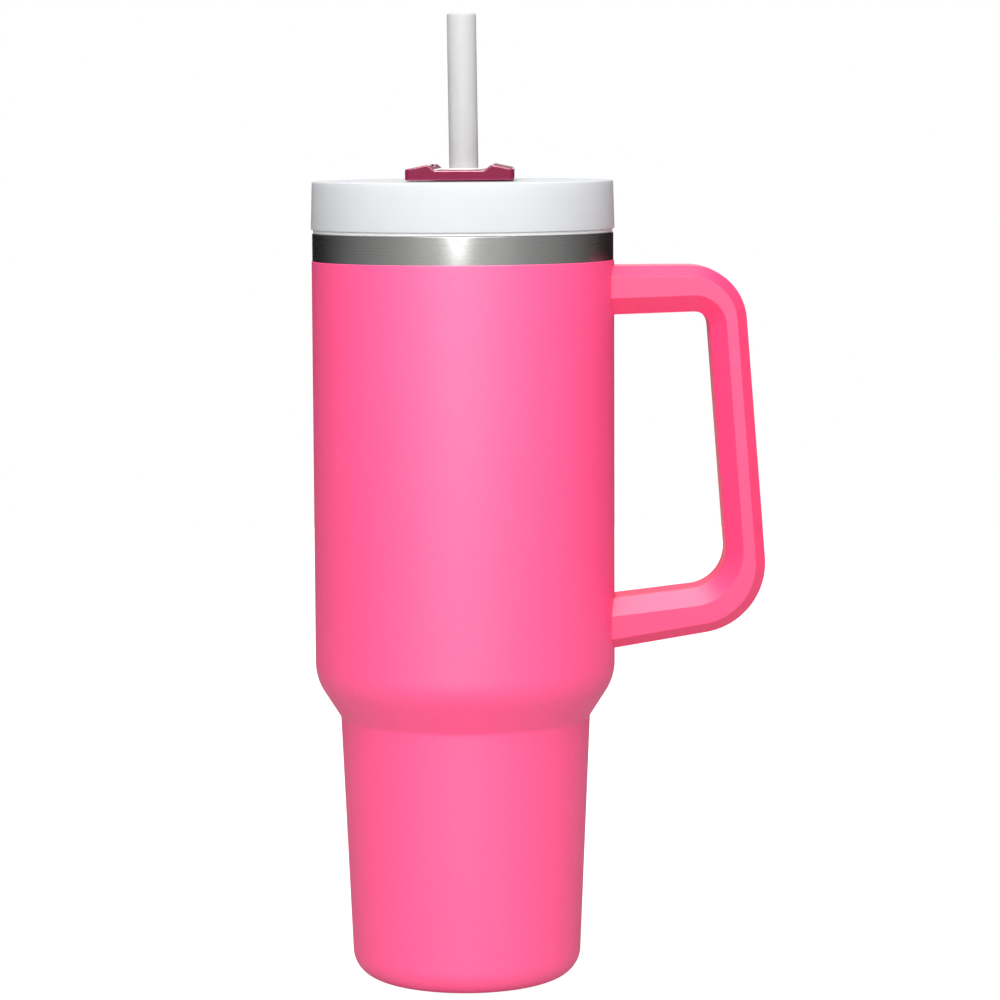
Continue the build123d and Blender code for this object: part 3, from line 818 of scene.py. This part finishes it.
def make_floor():
    """A pale disc of paper that glows a little, as a lit studio table does."""
    bm = bmesh.new()
    bmesh.ops.create_circle(bm, cap_ends=True, radius=FLOOR_R, segments=128)
    mesh = bpy.data.meshes.new("floor")
    bm.to_mesh(mesh)
    bm.free()
    floor = new_object("floor", mesh)
    shader = Shader("floor_paper")
    shader.fixed(Roughness=0.9, Specular_IOR_Level=0.1)
    shader.main.inputs["Base Color"].default_value = FLOOR_PAPER
    shader.main.inputs["Emission Color"].default_value = (1, 1, 1, 1)
    seen = shader.node("ShaderNodeLightPath").outputs["Is Camera Ray"]
    shader.link(
        shader.spread(seen, FLOOR_GLOW, FLOOR_SEEN, 0.0, 1.0),
        shader.main.inputs["Emission Strength"],
    )
    dress(floor, shader.material)


# how bright the room is at each share of the way from the front (0) to the back (1)
ROOM = (
    (0.00, 1.00),
    (0.17, 0.98),
    (0.25, 0.72),
    (0.33, 0.58),
    (0.42, 0.47),
    (0.50, 0.34),
    (0.62, 0.16),
    (0.74, 0.03),
    (0.86, 0.01),
    (1.00, 0.02),
)


def softbox(name, azimuth, elevation, distance, width, height, radiance):
    """A soft light that faces the object. Azimuth 0 is the front, and grows to the right."""
    light = bpy.data.lights.new(name, "AREA")
    light.shape = "RECTANGLE"
    light.size = width
    light.size_y = height
    light.energy = radiance * pi * width * height
    lamp = bpy.data.objects.new(name, light)
    middle = Vector((0, 0, 0.15))
    way = Vector((
        sin(radians(azimuth)) * cos(radians(elevation)),
        -cos(radians(azimuth)) * cos(radians(elevation)),
        sin(radians(elevation)),
    ))
    lamp.location = middle + way * distance
    lamp.rotation_euler = way.to_track_quat("Z", "Y").to_euler()
    bpy.context.scene.collection.objects.link(lamp)
    return lamp


def make_world():
    """White to the camera. The room round it is bright in front and dark behind."""
    world = bpy.data.worlds.new("studio")
    world.use_nodes = True
    tree = world.node_tree
    backdrop = tree.nodes["Background"]
    backdrop.inputs["Color"].default_value = (1, 1, 1, 1)
    backdrop.inputs["Strength"].default_value = 1.0
    room = tree.nodes.new("ShaderNodeBackground")
    place = tree.nodes.new("ShaderNodeTexCoord")
    split = tree.nodes.new("ShaderNodeSeparateXYZ")
    tree.links.new(place.outputs["Generated"], split.inputs["Vector"])
    side = tree.nodes.new("ShaderNodeMath")
    side.operation = "ABSOLUTE"
    tree.links.new(split.outputs["X"], side.inputs[0])
    front = tree.nodes.new("ShaderNodeMath")
    front.operation = "MULTIPLY"
    front.inputs[1].default_value = -1
    tree.links.new(split.outputs["Y"], front.inputs[0])
    turn = tree.nodes.new("ShaderNodeMath")
    turn.operation = "ARCTAN2"
    tree.links.new(side.outputs[0], turn.inputs[0])
    tree.links.new(front.outputs[0], turn.inputs[1])
    share = tree.nodes.new("ShaderNodeMath")
    share.operation = "DIVIDE"
    share.inputs[1].default_value = pi
    tree.links.new(turn.outputs[0], share.inputs[0])
    ramp = tree.nodes.new("ShaderNodeValToRGB")
    ramp.color_ramp.elements.remove(ramp.color_ramp.elements[1])
    ramp.color_ramp.elements[0].position = ROOM[0][0]
    ramp.color_ramp.elements[0].color = (ROOM[0][1],) * 3 + (1,)
    for position, level in ROOM[1:]:
        ramp.color_ramp.elements.new(position).color = (level,) * 3 + (1,)
    tree.links.new(share.outputs[0], ramp.inputs["Fac"])
    tree.links.new(ramp.outputs["Color"], room.inputs["Color"])
    path = tree.nodes.new("ShaderNodeLightPath")
    mix = tree.nodes.new("ShaderNodeMixShader")
    tree.links.new(path.outputs["Is Camera Ray"], mix.inputs["Fac"])
    tree.links.new(room.outputs["Background"], mix.inputs[1])
    tree.links.new(backdrop.outputs["Background"], mix.inputs[2])
    tree.links.new(mix.outputs["Shader"], tree.nodes["World Output"].inputs["Surface"])
    bpy.context.scene.world = world


CAMERA_PLACE = (0, -1.13987, 0.27706)
CAMERA_DOWN = 6.064
CAMERA_ROLL = -0.35
CAMERA_LENS = 127.19
CAMERA_SHIFT = 0.0357


def make_camera():
    """The fitted camera: its place in metres and its turns in degrees."""
    data = bpy.data.cameras.new("camera")
    data.sensor_width = 36.0
    data.lens = CAMERA_LENS
    data.shift_x = CAMERA_SHIFT
    data.clip_end = 50
    camera = bpy.data.objects.new("camera", data)
    camera.matrix_world = (
        Matrix.Translation(CAMERA_PLACE)
        @ Matrix.Rotation(radians(90 - CAMERA_DOWN), 4, "X")
        @ Matrix.Rotation(radians(CAMERA_ROLL), 4, "Z")
    )
    bpy.context.scene.collection.objects.link(camera)
    bpy.context.scene.camera = camera


make_floor()
make_world()
make_camera()
softbox("key_strip", -3.8, 28, 2.0, 0.36, 1.5, 13.5)
softbox("front_soft", 0, 32, 2.2, 2.0, 1.0, 0.9)
softbox("top_soft", 0, 67, 1.3, 1.1, 0.8, 4.6)
softbox("back_card", 180, 21, 2.0, 0.85, 1.2, 1.4)

bpy.context.scene.view_settings.view_transform = "Standard"
bpy.context.scene.view_settings.look = "None"
